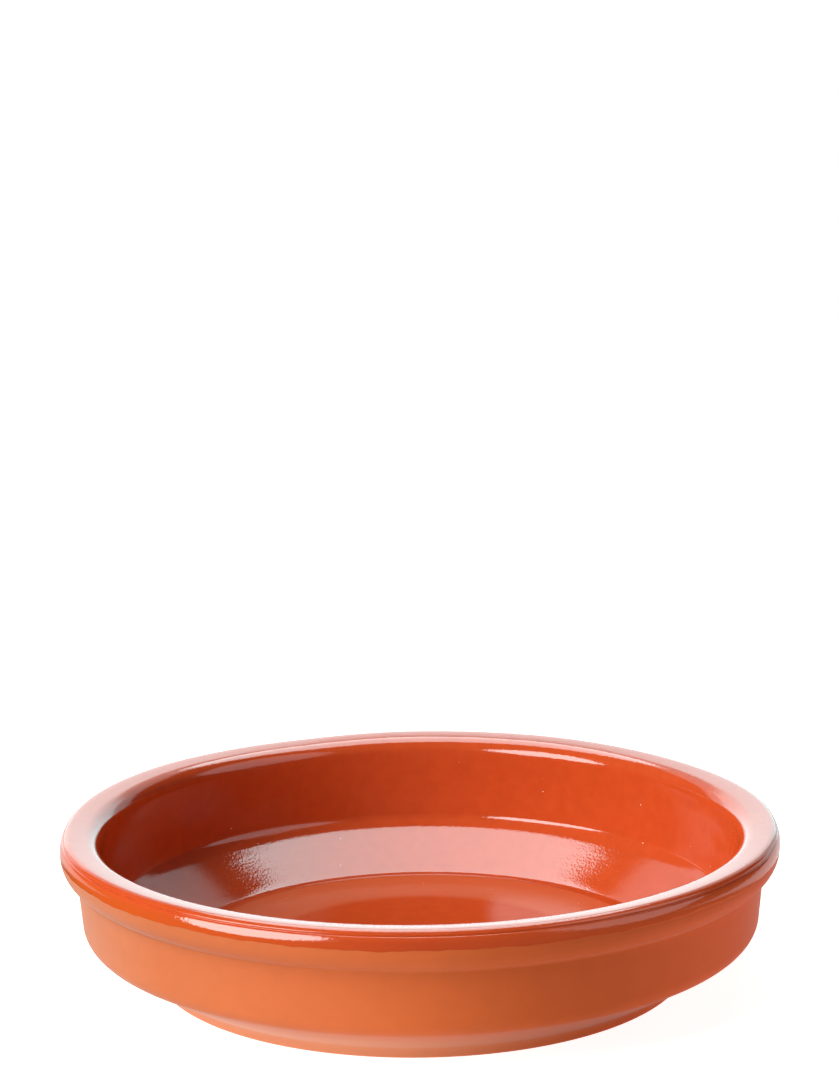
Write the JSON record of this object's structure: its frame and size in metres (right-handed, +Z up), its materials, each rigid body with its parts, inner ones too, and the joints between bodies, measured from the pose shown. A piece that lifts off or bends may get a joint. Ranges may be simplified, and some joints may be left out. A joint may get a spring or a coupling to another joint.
{
  "type": "serving dish",
  "caption": "Shallow round terracotta serving dish with a rolled rim, near-upright wall, stepped round base and a well with a level middle.",
  "frame": {"origin": "middle of the flat base, on the surface that the dish stands on", "axes": "+Z up along the axis of the round dish, towards its open mouth"},
  "size_m": [0.145, 0.145, 0.0305],
  "materials": {
    "dish": "clear gloss glaze inside and over the rim, satin bare terracotta outside"
  },
  "bodies": {
    "root": {"dish": "dish"}
  },
  "joints": []
}
